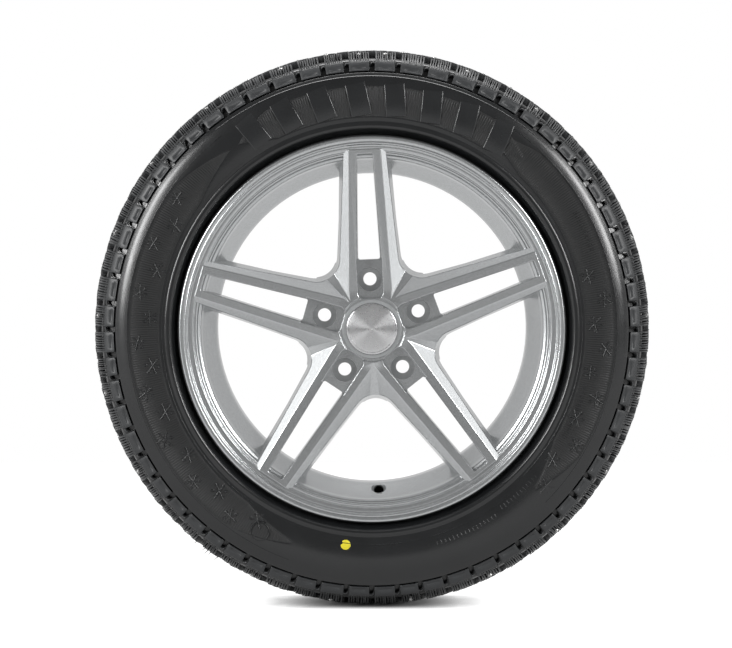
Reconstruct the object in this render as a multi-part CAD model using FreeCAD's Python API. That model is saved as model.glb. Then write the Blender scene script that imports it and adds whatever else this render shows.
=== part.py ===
import FreeCAD, Part

import math
import os

# Studded winter tyre on a five-spoke alloy wheel, in millimetres.
# The axle lies along Y, the outer face of the wheel looks towards -Y and Z is up.
# The origin is on the axle, half way between the two sides of the tyre.
# Sections are drawn as (radius, place along the axle) and turned about the axle.

# Rim: bead seats, flanges and drop well
seat_radius = 202.8
rim_width = 165.1
seat_width = 20.5
seat_taper_deg = 5.0
flange_height = 16.9
flange_thickness = 13.0
well_drop = 26.8
well_wall = 5.0
well_front = -44.0
well_back = -8.0
barrel_wall = 5.0

# Rim: stepped lip around the front opening
lip_ring_width = 10.8
lip_step = 3.0
lip_band_inset = 1.8

# Wheel turned a little counter-clockwise in its pose, seen from the front
pose_turn_deg = 2.4

# Spokes: distances are along the spoke from the axle, widths are half widths
spoke_count = 5
spoke_end_overlap = 2.5
spoke_end_proud = 2.2
spoke_root_radius = 82.0
face_half_width_rim = 18.1
face_half_width_root = 22.7
bevel_width_rim = 5.9
bevel_width_root = 10.5
bevel_depth_root = 14.0
flank_draft = 4.0
valley_depth = 14.0
valley_length = 31.0
window_corner_round = 22.0
spoke_back_radius = 125.0
spoke_thickness = 29.0
spoke_foot_depth = 40.0
spoke_sink = 2.5

# Slot that splits each spoke in two, and the pocket round each lug hole
slot_inner_radius = 78.6
slot_end_margin = 4.9
slot_half_width_rim = 9.4
slot_half_width_root = 13.5
slot_draft = 1.6
pocket_inner_radius = 34.5
pocket_half_width = 14.4
pocket_corner_round = 7.0
pocket_depth = 11.0

# Hub
hub_face = -82.0
hub_flat_radius = 44.0
mounting_face = -45.0
mounting_pad_radius = 76.0
mounting_pad_height = 6.0
hub_bore_radius = 33.3
hub_bore_depth = 13.0
cap_recess_radius = 37.0
cap_recess_depth = 2.0
cap_bore_radius = 26.0
cap_bore_depth = 11.0
clip_chamber_radius = 30.5

# Lug holes
lug_circle_radius = 56.0
lug_hole_radius = 7.5
lug_counterbore_radius = 13.6
lug_counterbore_depth = 10.0
lug_seat_angle_deg = 60.0

# Valve hole, in the gap between the two lowest spokes
valve_hole_radius = 5.65
valve_exit_height = 5.1
valve_tilt_deg = 25.0
valve_spot_radius = 8.6
valve_wall = 4.9

# Centre cap
cap_radius = 28.7
cap_thickness = 5.0
cap_leg_count = 4
cap_leg_width = 12.0
cap_leg_wall = 2.5
cap_leg_clearance = 0.3
cap_hook_height = 2.2
cap_hook_length = 4.0

# Tyre carcass
section_height = 113.2
section_width = 205.0
bead_clearance = 0.15
protector_height = 26.0
protector_width = 202.0
shoulder_depth = 25.0
shoulder_width = 191.0
ledge_width = 3.0
sidewall_thickness = 9.0
crown_thickness = 8.5

# Tread: one arrow-shaped lug across the whole tread to each pitch
tread_depth = 9.5
floor_half_width = 80.0
groove_width = 6.5
lug_sweep = 18.0
shoulder_inner = 57.5
shoulder_edge = 83.5
shoulder_edge_drop = 4.6
lug_root = 2.5
# One quarter of the tread: short, medium and long pitches mixed to spread the road noise
pitch_sequence = "MSMLLMMSMSMSLMLM"
quarter_count = 4
pitch_share = {"S": 0.912, "M": 1.0, "L": 1.09}

# Studs: four-sided pegs with a wide foot, each in a seat of the same form
stud_foot_side = 6.0
stud_tip_side = 3.6
stud_length = 8.0
stud_proud = 1.3
stud_seat_clearance = 0.1
stud_row_shoulder = 70.0
stud_row_step = 4.0
stud_row_middle = 24.0

# Places worked out from the sizes above
rim_half = rim_width / 2.0
seat_end = rim_half - seat_width
ledge_radius = seat_radius - seat_width * math.tan(math.radians(seat_taper_deg))
well_radius = seat_radius - well_drop
well_outer = well_radius + well_wall
flange_radius = seat_radius + flange_height
flange_outer = rim_half + flange_thickness
lip_step_radius = flange_radius - lip_ring_width
lip_band_radius = seat_radius - lip_band_inset
lip_band_front = -(flange_outer - lip_step)
spoke_end_front = lip_band_front - spoke_end_proud
spoke_end_radius = lip_band_radius + spoke_end_overlap
slot_outer_radius = spoke_end_radius - slot_end_margin
valve_exit_radius = well_outer + valve_exit_height
tyre_radius = seat_radius + section_height
protector_radius = seat_radius + protector_height
shoulder_radius = tyre_radius - shoulder_depth
widest_radius = (protector_radius + shoulder_radius) / 2.0
floor_radius = tyre_radius - tread_depth
liner_radius = floor_radius - crown_thickness
spoke_pitch_deg = 360.0 / spoke_count
half_pitch = math.radians(spoke_pitch_deg / 2.0)
pocket_floor = hub_face + pocket_depth
beyond = 12.0

origin = FreeCAD.Vector(0, 0, 0)
axle = FreeCAD.Vector(0, 1, 0)


def ring(section):
    """Solid of revolution about the axle of a closed section of (radius, place) points."""
    points = [FreeCAD.Vector(radius, place, 0) for radius, place in section]
    face = Part.Face(Part.makePolygon(points + points[:1]))
    return face.revolve(origin, axle, 360)


def pitches():
    """Middle angle in degrees and length in degrees of each tread pitch, in order round the tyre."""
    shares = [pitch_share[letter] for letter in pitch_sequence * quarter_count]
    unit = 360.0 / sum(shares)
    places = []
    start = 0.0
    for share in shares:
        length = share * unit
        places.append((start + length / 2.0, length))
        start += length
    return places


def section_corner(point, angle_deg):
    """Point of a ring's section at an angle, counter-clockwise from the top seen from the front."""
    radius, place = point
    angle = math.radians(angle_deg)
    return FreeCAD.Vector(-radius * math.sin(angle), place, radius * math.cos(angle))


def flat_ring(section):
    """Ring with one flat to a tread pitch, from a closed section of (radius, place) points.

    The ridges between flats lie under the middles of the lugs. Barrel and tyre have the same
    flats, so the beads sit on the rim flat on flat.
    """
    angles = [middle for middle, length in pitches()]
    flats = []
    for start, end in zip(angles, angles[1:] + angles[:1]):
        for first, second in zip(section, section[1:] + section[:1]):
            corners = [
                section_corner(first, start),
                section_corner(second, start),
                section_corner(second, end),
                section_corner(first, end),
            ]
            flats.append(Part.Face(Part.makePolygon(corners + corners[:1])))
    return Part.makeSolid(Part.makeShell(flats))


def turned(shape, angle_deg):
    """Copy of a shape turned about the axle, counter-clockwise seen from the front."""
    copy = shape.copy()
    copy.rotate(origin, axle, -angle_deg)
    return copy


def around(shape, count, first_deg=0.0):
    """Copies of a shape spaced evenly about the axle."""
    return [turned(shape, first_deg + 360.0 * step / count) for step in range(count)]


def axial_cylinder(radius, front, back, height_on_z=0.0):
    """Cylinder along the axle between two places, at a height above it."""
    base = FreeCAD.Vector(0, front, height_on_z)
    return Part.makeCylinder(radius, back - front, base, axle)


def prism(outline, direction):
    """Solid swept along a direction from a closed planar outline of points."""
    face = Part.Face(Part.makePolygon(outline + outline[:1]))
    return face.extrude(direction)


# Alloy rim

def face_place(along):
    """Place of the flat, dished face of a spoke at a distance along the spoke."""
    slope = (spoke_end_front - hub_face) / (spoke_end_radius - hub_flat_radius)
    return hub_face + slope * (along - hub_flat_radius)


def barrel():
    """Outer ring of the rim: flanges, bead seats, drop well and stepped lip."""
    rear_inner = ledge_radius - barrel_wall
    return flat_ring([
        (flange_radius, -rim_half),
        (flange_radius, -flange_outer),
        (lip_step_radius, -flange_outer),
        (lip_step_radius, lip_band_front),
        (lip_band_radius, lip_band_front),
        (well_radius, well_front),
        (well_radius, well_back),
        (rear_inner, flange_outer),
        (flange_radius, flange_outer),
        (flange_radius, rim_half),
        (seat_radius, rim_half),
        (ledge_radius, seat_end),
        (well_outer, well_back),
        (well_outer, well_front),
        (ledge_radius, -seat_end),
        (seat_radius, -rim_half),
    ])


def front_wall_radius(place):
    """Radius of the sloping inside wall of the barrel behind the lip."""
    share = (place - lip_band_front) / (well_front - lip_band_front)
    return lip_band_radius + (well_radius - lip_band_radius) * share


def spoke_bar():
    """Wide bar with the side profile of one spoke, pointing up; its end is sunk in the barrel."""
    foot_front = lip_band_front + spoke_end_proud
    foot_back = spoke_end_front + spoke_foot_depth
    profile = [
        (0.0, hub_face),
        (hub_flat_radius, hub_face),
        (spoke_end_radius, spoke_end_front),
        (spoke_end_radius, foot_front),
        (front_wall_radius(foot_front) + spoke_sink, foot_front),
        (front_wall_radius(foot_back) + spoke_sink, foot_back),
        (spoke_back_radius, face_place(spoke_back_radius) + spoke_thickness),
        (mounting_pad_radius, mounting_face - mounting_pad_height),
        (mounting_pad_radius, mounting_face),
        (0.0, mounting_face),
    ]
    half_width = spoke_root_radius * math.tan(half_pitch)
    outline = [FreeCAD.Vector(-half_width, place, along) for along, place in profile]
    return prism(outline, FreeCAD.Vector(2.0 * half_width, 0, 0))


def beside_spoke(along, across, place, side):
    """Point of a spoke next to a gap whose middle line points up.

    It is given along and across the spoke, across counting towards the gap; side is 1 or -1.
    """
    x = along * math.sin(half_pitch) - across * math.cos(half_pitch)
    z = along * math.cos(half_pitch) + across * math.sin(half_pitch)
    return FreeCAD.Vector(side * x, place, z)


def trimmed(block, corners, kept):
    """What is left of a block on the kept point's side of the plane through three corners."""
    normal = (corners[1] - corners[0]).cross(corners[2] - corners[0])
    normal.normalize()
    if normal.dot(kept - corners[0]) > 0:
        normal = -normal
    reach = 4.0 * flange_radius
    waste = Part.makeBox(reach, reach, reach, FreeCAD.Vector(-reach / 2.0, -reach / 2.0, 0))
    waste.Placement = FreeCAD.Placement(corners[0], FreeCAD.Rotation(FreeCAD.Vector(0, 0, 1), normal))
    return block.cut(waste)


def window_cutters():
    """Gap between two spokes: a bevelled mouth with a valley towards the hub, then drafted walls."""
    width = 2.0 * flange_radius
    front = spoke_end_front - beyond
    depth = mounting_face + beyond - front
    mouth = Part.makeBox(width, depth, flange_radius, FreeCAD.Vector(-flange_radius, front, 0))
    through = mouth.copy()
    kept = FreeCAD.Vector(0, front, flange_radius)
    face_taper = (face_half_width_root - face_half_width_rim) / (spoke_end_radius - spoke_root_radius)
    apex_width = face_half_width_root + face_taper * spoke_root_radius
    apex_along = apex_width / (math.tan(half_pitch) + face_taper) / math.cos(half_pitch)
    bevel_depth_rim = bevel_depth_root * bevel_width_rim / bevel_width_root
    shoulder_root = face_half_width_root + bevel_width_root
    shoulder_rim = face_half_width_rim + bevel_width_rim
    root_place = face_place(spoke_root_radius)
    for side in (-1, 1):
        face_root = beside_spoke(spoke_root_radius, face_half_width_root, root_place, side)
        face_rim = beside_spoke(spoke_end_radius, face_half_width_rim, spoke_end_front, side)
        low_root = beside_spoke(spoke_root_radius, shoulder_root, root_place + bevel_depth_root, side)
        low_rim = beside_spoke(spoke_end_radius, shoulder_rim, spoke_end_front + bevel_depth_rim, side)
        back_root = beside_spoke(spoke_root_radius, shoulder_root + flank_draft, mounting_face, side)
        mouth = trimmed(mouth, [face_root, face_rim, low_root], kept)
        through = trimmed(through, [low_root, low_rim, back_root], kept)
    valley = [
        FreeCAD.Vector(-1, hub_face, apex_along),
        FreeCAD.Vector(1, hub_face, apex_along),
        FreeCAD.Vector(0, hub_face + valley_depth, apex_along + valley_length),
    ]
    mouth = trimmed(mouth, valley, kept)
    corner_edges = [
        edge for edge in through.Edges
        if max(abs(edge.BoundBox.XMin), abs(edge.BoundBox.XMax)) < 0.01 and edge.BoundBox.YLength > 1.0
    ]
    return [mouth, through.makeFillet(window_corner_round, corner_edges)]


def slot_cutter():
    """Tapered slot that splits a spoke, its long walls drafted towards the back."""
    front = spoke_end_front - beyond
    back = mounting_face + beyond
    length = slot_outer_radius - slot_inner_radius
    base = FreeCAD.Vector(-2.0 * slot_half_width_root, front, slot_inner_radius)
    slot = Part.makeBox(4.0 * slot_half_width_root, back - front, length, base)
    kept = FreeCAD.Vector(0, front, slot_outer_radius)
    for side in (-1, 1):
        wall = [
            FreeCAD.Vector(side * slot_half_width_root, front, slot_inner_radius),
            FreeCAD.Vector(side * slot_half_width_rim, front, slot_outer_radius),
            FreeCAD.Vector(side * (slot_half_width_root - slot_draft), back, slot_inner_radius),
        ]
        slot = trimmed(slot, wall, kept)
    return slot


def pocket_cutter():
    """Recess round a lug hole, rounded towards the hub and open into the slot."""
    length = slot_inner_radius + slot_draft - pocket_inner_radius
    base = FreeCAD.Vector(-pocket_half_width, hub_face - beyond, pocket_inner_radius)
    block = Part.makeBox(2.0 * pocket_half_width, pocket_depth + beyond, length, base)
    hub_side = [
        edge for edge in block.Edges
        if abs(edge.BoundBox.ZMax - pocket_inner_radius) < 0.01 and edge.BoundBox.YLength > 1.0
    ]
    return block.makeFillet(pocket_corner_round, hub_side)


def lug_cutter():
    """Lug hole with its counterbore and conical seat."""
    seat_top = pocket_floor + lug_counterbore_depth
    half_angle = math.radians(lug_seat_angle_deg / 2.0)
    seat_depth = (lug_counterbore_radius - lug_hole_radius) / math.tan(half_angle)
    top = axial_cylinder(lug_counterbore_radius, pocket_floor - beyond, seat_top, lug_circle_radius)
    base = FreeCAD.Vector(0, seat_top, lug_circle_radius)
    seat = Part.makeCone(lug_counterbore_radius, lug_hole_radius, seat_depth, base, axle)
    hole = axial_cylinder(lug_hole_radius, seat_top, mounting_face + beyond, lug_circle_radius)
    return top.fuse([seat, hole])


def hub_cutter():
    """Bore for the hub, chamber for the cap's clips, bore for the cap and the recess that it sits in."""
    recess_floor = hub_face + cap_recess_depth
    cap_bore_back = recess_floor + cap_bore_depth
    return ring([
        (0.0, hub_face - beyond),
        (cap_recess_radius, hub_face - beyond),
        (cap_recess_radius, recess_floor),
        (cap_bore_radius, recess_floor),
        (cap_bore_radius, cap_bore_back),
        (clip_chamber_radius, cap_bore_back),
        (clip_chamber_radius, mounting_face - hub_bore_depth),
        (hub_bore_radius, mounting_face - hub_bore_depth),
        (hub_bore_radius, mounting_face + beyond),
        (0.0, mounting_face + beyond),
    ])


def valve_cutter():
    """Valve hole through the sloping wall of the well, with a spot face on its front."""
    exit_share = (valve_exit_radius - well_outer) / (ledge_radius - well_outer)
    exit_point = FreeCAD.Vector(0, well_front - exit_share * (seat_end + well_front), valve_exit_radius)
    tilt = math.radians(valve_tilt_deg)
    outward = FreeCAD.Vector(0, math.cos(tilt), math.sin(tilt))
    spot_floor = exit_point - outward * valve_wall
    reach = valve_wall + 2.0 * beyond
    spot = Part.makeCylinder(valve_spot_radius, reach, spot_floor, -outward)
    hole = Part.makeCylinder(valve_hole_radius, reach, spot_floor, outward)
    return spot.fuse(hole)


def alloy_rim():
    """The whole casting: barrel, hub and the spokes in their pose, with every hole."""
    cutters = [hub_cutter()]
    for piece in window_cutters():
        cutters += around(piece, spoke_count, spoke_pitch_deg / 2.0)
    for piece in (slot_cutter(), pocket_cutter(), lug_cutter()):
        cutters += around(piece, spoke_count)
    bars = around(spoke_bar(), spoke_count)
    spider = bars[0].fuse(bars[1:]).cut(cutters)
    valve = turned(valve_cutter(), 180.0 + pose_turn_deg)
    return barrel().fuse(turned(spider, pose_turn_deg)).cut(valve).removeSplitter()


# Centre cap

def centre_cap():
    """Round cap with clip legs that hook behind the edge of the cap bore."""
    seat = hub_face + cap_recess_depth
    cap_bore_back = seat + cap_bore_depth
    plate = axial_cylinder(cap_radius, seat - cap_thickness, seat)
    leg_outer = cap_bore_radius - cap_leg_clearance
    hook_front = cap_bore_back + cap_leg_clearance
    hook_back = hook_front + cap_hook_length
    leg_section = [
        (leg_outer - cap_leg_wall, seat - cap_thickness / 2.0),
        (leg_outer, seat - cap_thickness / 2.0),
        (leg_outer, hook_front),
        (leg_outer + cap_hook_height, hook_front),
        (leg_outer - cap_leg_wall / 2.0, hook_back),
        (leg_outer - cap_leg_wall, hook_back),
    ]
    flat_drop = leg_outer - math.sqrt(leg_outer ** 2 - (cap_leg_width / 2.0) ** 2)
    outline = [
        FreeCAD.Vector(-cap_leg_width / 2.0, place, radius - flat_drop)
        for radius, place in leg_section
    ]
    leg = prism(outline, FreeCAD.Vector(cap_leg_width, 0, 0))
    cap = plate.fuse(around(leg, cap_leg_count, 360.0 / cap_leg_count / 2.0)).removeSplitter()
    return turned(cap, pose_turn_deg)


# Tyre and studs

def carcass():
    """Tyre without its lugs: beads, sidewalls, shoulders, groove floor and inner liner."""
    half_section = [
        (floor_radius, floor_half_width),
        (shoulder_radius, shoulder_width / 2.0),
        (widest_radius, section_width / 2.0),
        (protector_radius, protector_width / 2.0),
        (flange_radius + bead_clearance, rim_half - bead_clearance),
        (seat_radius + bead_clearance, rim_half - bead_clearance),
        (ledge_radius + bead_clearance, seat_end),
        (widest_radius, section_width / 2.0 - sidewall_thickness),
        (liner_radius, floor_half_width),
    ]
    mirrored = [(radius, -place) for radius, place in reversed(half_section)]
    return flat_ring(half_section + mirrored)


def lug_half_length(length_deg):
    """Half length of a lug along the tread."""
    return (math.radians(length_deg) * tyre_radius - groove_width) / 2.0


def lug_top(half_length):
    """Height of the flat middle of a lug, whose leading corner reaches the tread radius."""
    return math.sqrt(tyre_radius ** 2 - (half_length + lug_sweep) ** 2)


def shoulder_top(place, half_length):
    """Height of the sloping shoulder of a lug at a place along the axle."""
    inner = lug_top(half_length)
    outer = tyre_radius - shoulder_edge_drop
    share = (abs(place) - shoulder_inner) / (shoulder_edge - shoulder_inner)
    return inner + (outer - inner) * share


def lug_shoulder(half_length, side):
    """Straight end of a lug on one shoulder at the top of the tyre, its foot sunk into the carcass."""
    foot = shoulder_width / 2.0 - ledge_width
    section = [
        (shoulder_inner, floor_radius - lug_root),
        (shoulder_inner, shoulder_top(shoulder_inner, half_length)),
        (shoulder_edge, shoulder_top(shoulder_edge, half_length)),
        (foot, shoulder_radius - lug_root),
        (shoulder_edge, shoulder_radius - lug_root),
        (floor_half_width, floor_radius - lug_root),
    ]
    outline = [FreeCAD.Vector(-half_length, side * place, height) for place, height in section]
    return prism(outline, FreeCAD.Vector(2.0 * half_length, 0, 0))


def lug_middle(half_length):
    """Arrow-shaped middle of a lug, between its two shoulders."""
    base = floor_radius - lug_root
    plan = [
        (half_length, -shoulder_inner),
        (half_length + lug_sweep, 0.0),
        (half_length, shoulder_inner),
        (-half_length, shoulder_inner),
        (-half_length + lug_sweep, 0.0),
        (-half_length, -shoulder_inner),
    ]
    outline = [FreeCAD.Vector(-along, place, base) for along, place in plan]
    return prism(outline, FreeCAD.Vector(0, 0, lug_top(half_length) - base))


def stud_places():
    """Angle in degrees of each stud's lug, and the stud's point on the lug's top.

    Of each four lugs the first has a stud in one shoulder, the second in its middle and the
    third in the other shoulder. They step across from turn to turn, so few run in one track.
    """
    places = []
    for index, (middle, length) in enumerate(pitches()):
        half_length = lug_half_length(length)
        turn = index // 4
        step = stud_row_step * (turn % 3 - 1)
        if index % 4 == 1:
            row = stud_row_middle + step
            along = lug_sweep * (1.0 - row / shoulder_inner)
            side = 1 if turn % 2 == 0 else -1
            places.append((middle, FreeCAD.Vector(-along, side * row, lug_top(half_length))))
        elif index % 2 == 0:
            row = stud_row_shoulder + step
            side = 1 if index % 4 == 0 else -1
            places.append((middle, FreeCAD.Vector(0, side * row, shoulder_top(row, half_length))))
    return places


def peg(top, clearance):
    """Tapered peg that stands proud of a point on the tread, with a clearance added all round."""
    foot = stud_foot_side / 2.0 + clearance
    tip = stud_tip_side / 2.0 + clearance
    shape = Part.makeWedge(-foot, 0, -foot, -tip, -tip, foot, stud_length + stud_proud, foot, tip, tip)
    shape.rotate(origin, FreeCAD.Vector(1, 0, 0), 90)
    shape.translate(top - FreeCAD.Vector(0, 0, stud_length))
    return shape


def tyre():
    """Moulded tyre: carcass and lugs, with the stud seats."""
    lugs = []
    for middle, length in pitches():
        half_length = lug_half_length(length)
        lugs.append(turned(lug_middle(half_length), middle))
        for side in (-1, 1):
            lugs.append(turned(lug_shoulder(half_length, side), middle))
    seats = [turned(peg(top, stud_seat_clearance), middle) for middle, top in stud_places()]
    return carcass().fuse(lugs).cut(seats).removeSplitter()


def studs():
    """All studs as separate solids in one group."""
    return Part.makeCompound([turned(peg(top, 0.0), middle) for middle, top in stud_places()])


os.makedirs("parts", exist_ok=True)
nodes = {
    "tyre": tyre(),
    "studs": studs(),
    "alloy_rim": alloy_rim(),
    "centre_cap": centre_cap(),
}
for name, shape in nodes.items():
    shape.exportStep("parts/" + name + ".step")
    print(name, len(shape.Solids), "solids", round(shape.Volume / 1000.0, 1), "cm3", shape.isValid())
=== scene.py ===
import math

import bmesh
import bpy
import numpy
from mathutils import Matrix, Vector


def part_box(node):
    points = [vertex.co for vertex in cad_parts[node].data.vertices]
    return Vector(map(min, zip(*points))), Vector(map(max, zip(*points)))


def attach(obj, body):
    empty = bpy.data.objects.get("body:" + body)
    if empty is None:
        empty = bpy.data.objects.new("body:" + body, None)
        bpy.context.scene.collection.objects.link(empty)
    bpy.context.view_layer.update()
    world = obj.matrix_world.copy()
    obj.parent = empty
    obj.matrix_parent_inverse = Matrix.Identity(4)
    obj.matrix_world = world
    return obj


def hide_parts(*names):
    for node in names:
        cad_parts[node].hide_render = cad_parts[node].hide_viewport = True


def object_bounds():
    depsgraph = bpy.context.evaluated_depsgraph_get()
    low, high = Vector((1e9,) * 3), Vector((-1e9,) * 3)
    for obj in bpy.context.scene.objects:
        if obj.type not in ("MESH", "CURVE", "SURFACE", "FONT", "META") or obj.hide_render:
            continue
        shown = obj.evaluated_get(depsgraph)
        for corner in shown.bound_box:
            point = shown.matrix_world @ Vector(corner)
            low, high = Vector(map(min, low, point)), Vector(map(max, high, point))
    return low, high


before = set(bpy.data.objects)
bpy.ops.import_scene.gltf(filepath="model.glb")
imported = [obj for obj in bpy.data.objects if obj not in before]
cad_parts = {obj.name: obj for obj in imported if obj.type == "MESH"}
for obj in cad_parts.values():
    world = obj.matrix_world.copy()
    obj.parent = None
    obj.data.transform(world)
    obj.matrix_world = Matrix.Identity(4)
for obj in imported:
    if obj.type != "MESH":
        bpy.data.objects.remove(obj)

bl_info = {
    "name": "Studded winter wheel",
    "version": (1, 0, 0),
    "blender": (4, 5, 0),
    "location": "View3D > Sidebar > Winter wheel",
    "description": "Dresses the packed wheel: winter tyre, studs, split-spoke alloy rim and centre cap",
    "category": "Object",
}

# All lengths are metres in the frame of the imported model: the axle lies along Y, the outer face of
# the wheel looks towards -Y and Z is up. Angles run counter-clockwise from +X, seen from the front.
MM = 0.001
BODY = "root"
CAD_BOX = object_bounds()
TYRE_LOW, TYRE_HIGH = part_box("tyre")
RIM_LOW, RIM_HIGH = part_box("alloy_rim")
CAP_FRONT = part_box("centre_cap")[0][1]
TREAD_RADIUS = (TYRE_HIGH[2] - TYRE_LOW[2]) / 2.0
SECTION_WIDTH = TYRE_HIGH[1] - TYRE_LOW[1]
FLANGE_RADIUS = (RIM_HIGH[2] - RIM_LOW[2]) / 2.0
RIM_FRONT = RIM_LOW[1]

# Crescent fields with fine ribs on the sidewall: middle angle and half length, then the radius of
# their middle, their half width, the share of the length at full width and how deep they lie
RIBBED_FIELDS = tuple(
    (math.radians(middle), math.radians(half)) for middle, half in ((189, 61), (7.5, 52.5), (87, 39)))
FIELD_RADIUS = 257.5 * MM
FIELD_HALF = 17.5 * MM
FIELD_FULL = 0.74
FIELD_DEPTH = 0.7 * MM
# Ribs round the whole sidewall, about 1 mm apart on a tyre and drawn at 2.6 mm so that they show
RIB_COUNT = round(2.0 * math.pi * 260 / 2.6)
# Distances below which points count as touching, and below which they are welded
TOUCHING = 1e-6
WELDED = 5e-6


def length_property(name, description, default):
    """Length in metres, shown in the scene's own unit."""
    return bpy.props.FloatProperty(
        name=name, description=description, default=default, unit="LENGTH", precision=5)


def colour_property(name, description, default):
    """Colour written as an sRGB hex value."""
    return bpy.props.StringProperty(name=name, description=description, default=default)


class WinterTyreSettings(bpy.types.PropertyGroup):
    """Sizes and colours of the tyre and its studs."""

    tread_radius: length_property("Tread radius", "Radius over the lugs in the middle", TREAD_RADIUS)
    section_width: length_property("Section width", "Width over the sidewalls", SECTION_WIDTH)
    parting_radius: length_property("Parting radius", "Where the shoulder blocks meet the sidewall", 291 * MM)
    groove_depth: length_property("Groove depth", "Depth of the grooves between lugs", 9.5 * MM)
    groove_width: length_property("Groove width", "Width of the grooves between lugs", 6.5 * MM)
    sipe_width: length_property("Sipe width", "Width of the thin cuts in the lugs", 0.8 * MM)
    sipe_count: bpy.props.IntProperty(
        name="Slices to a lug", description="Slices that the sipes leave of one lug", default=9, min=2)
    lug_sweep: length_property("Lug sweep", "How far the middle of a lug runs ahead of its ends", 18 * MM)
    stud_flange: length_property("Stud diameter", "Diameter of the steel body of a stud", 6.5 * MM)
    stud_proud: length_property("Stud height", "How far the hard pin stands out of the tread", 1.2 * MM)
    rubber_colour: colour_property("Rubber", "Colour of the tread and sidewall rubber", "#161718")
    dot_colour: colour_property("Paint dot", "Colour of the balance dot", "#e3d52a")


class AlloyRimSettings(bpy.types.PropertyGroup):
    """Sizes and colours of the alloy rim and its cap."""

    flange_radius: length_property("Flange radius", "Outer radius of the rim", FLANGE_RADIUS)
    turn: bpy.props.FloatProperty(
        name="Turn", description="How far the spokes are turned, counter-clockwise from upright",
        default=math.radians(2.4), subtype="ANGLE")
    spoke_count: bpy.props.IntProperty(
        name="Spokes", description="Number of split spokes", default=5, min=3)
    spoke_end: length_property("Spoke end", "Where the face of a spoke ends on the lip", 203.5 * MM)
    spoke_root: length_property("Spoke root", "Where the width at the root is taken", 82 * MM)
    face_half_rim: length_property("Face at the lip", "Half width of the flat face at the lip", 18.1 * MM)
    face_half_root: length_property("Face at the root", "Half width of the flat face at the root", 22.7 * MM)
    bevel_rim: length_property("Bevel at the lip", "Width of the bevel at the lip", 5.9 * MM)
    bevel_root: length_property("Bevel at the root", "Width of the bevel at the root", 10.5 * MM)
    slot_inner: length_property("Slot start", "Where the slot in a spoke starts", 78.6 * MM)
    slot_outer: length_property("Slot end", "Where the slot in a spoke ends", 198.6 * MM)
    slot_half_rim: length_property("Slot at the lip", "Half width of the slot at the lip", 9.4 * MM)
    slot_half_root: length_property("Slot at the root", "Half width of the slot at the root", 13.5 * MM)
    lug_circle: length_property("Lug circle", "Radius of the circle of lug holes", 56 * MM)
    lug_hole: length_property("Lug hole", "Radius of a lug hole", 7.5 * MM)
    edge_round: length_property("Edge rounding", "Rounding of the casting's edges under the paint", 0.9 * MM)
    paint_colour: colour_property("Wheel paint", "Colour of the silver paint", "#b0b2b3")
    cap_colour: colour_property("Cap", "Colour of the polished cap", "#d2d2d3")
    turned_colour: colour_property("Turned ring", "Colour of the turned ring round the cap", "#a6a8a9")


class StageSettings(bpy.types.PropertyGroup):
    """Camera and floor of the studio."""

    camera_distance: length_property("Camera distance", "From the camera to the middle of the wheel", 6.0)
    camera_elevation: bpy.props.FloatProperty(
        name="Camera elevation", description="Height of the camera above the axle, as an angle",
        default=math.radians(2.0), subtype="ANGLE")
    picture_width: length_property("Picture width", "Width of the picture at the wheel", 839.6 * MM)
    floor_colour: colour_property("Floor", "Colour of the floor", "#8e8e8e")


def linear(hex_colour):
    """Linear RGBA of an sRGB hex colour."""
    channels = [int(hex_colour[place:place + 2], 16) / 255.0 for place in (1, 3, 5)]
    return [c / 12.92 if c <= 0.04045 else ((c + 0.055) / 1.055) ** 2.4 for c in channels] + [1.0]


def shaded(colour, factor):
    """Colour made darker or lighter by a factor."""
    return [factor * value for value in colour[:3]] + [1.0]


def add_node(tree, kind, inputs=None, **settings):
    """New node with its settings; an input is given as a value or as the socket it is linked to."""
    node = tree.nodes.new(kind)
    for name, value in settings.items():
        setattr(node, name, value)
    for key, value in (inputs or {}).items():
        if isinstance(value, bpy.types.NodeSocket):
            tree.links.new(value, node.inputs[key])
        else:
            node.inputs[key].default_value = value
    return node


def new_material(name):
    """Empty node material and its tree."""
    material = bpy.data.materials.new(name)
    material.use_nodes = True
    material.node_tree.nodes.clear()
    return material, material.node_tree


# Materials

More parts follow.
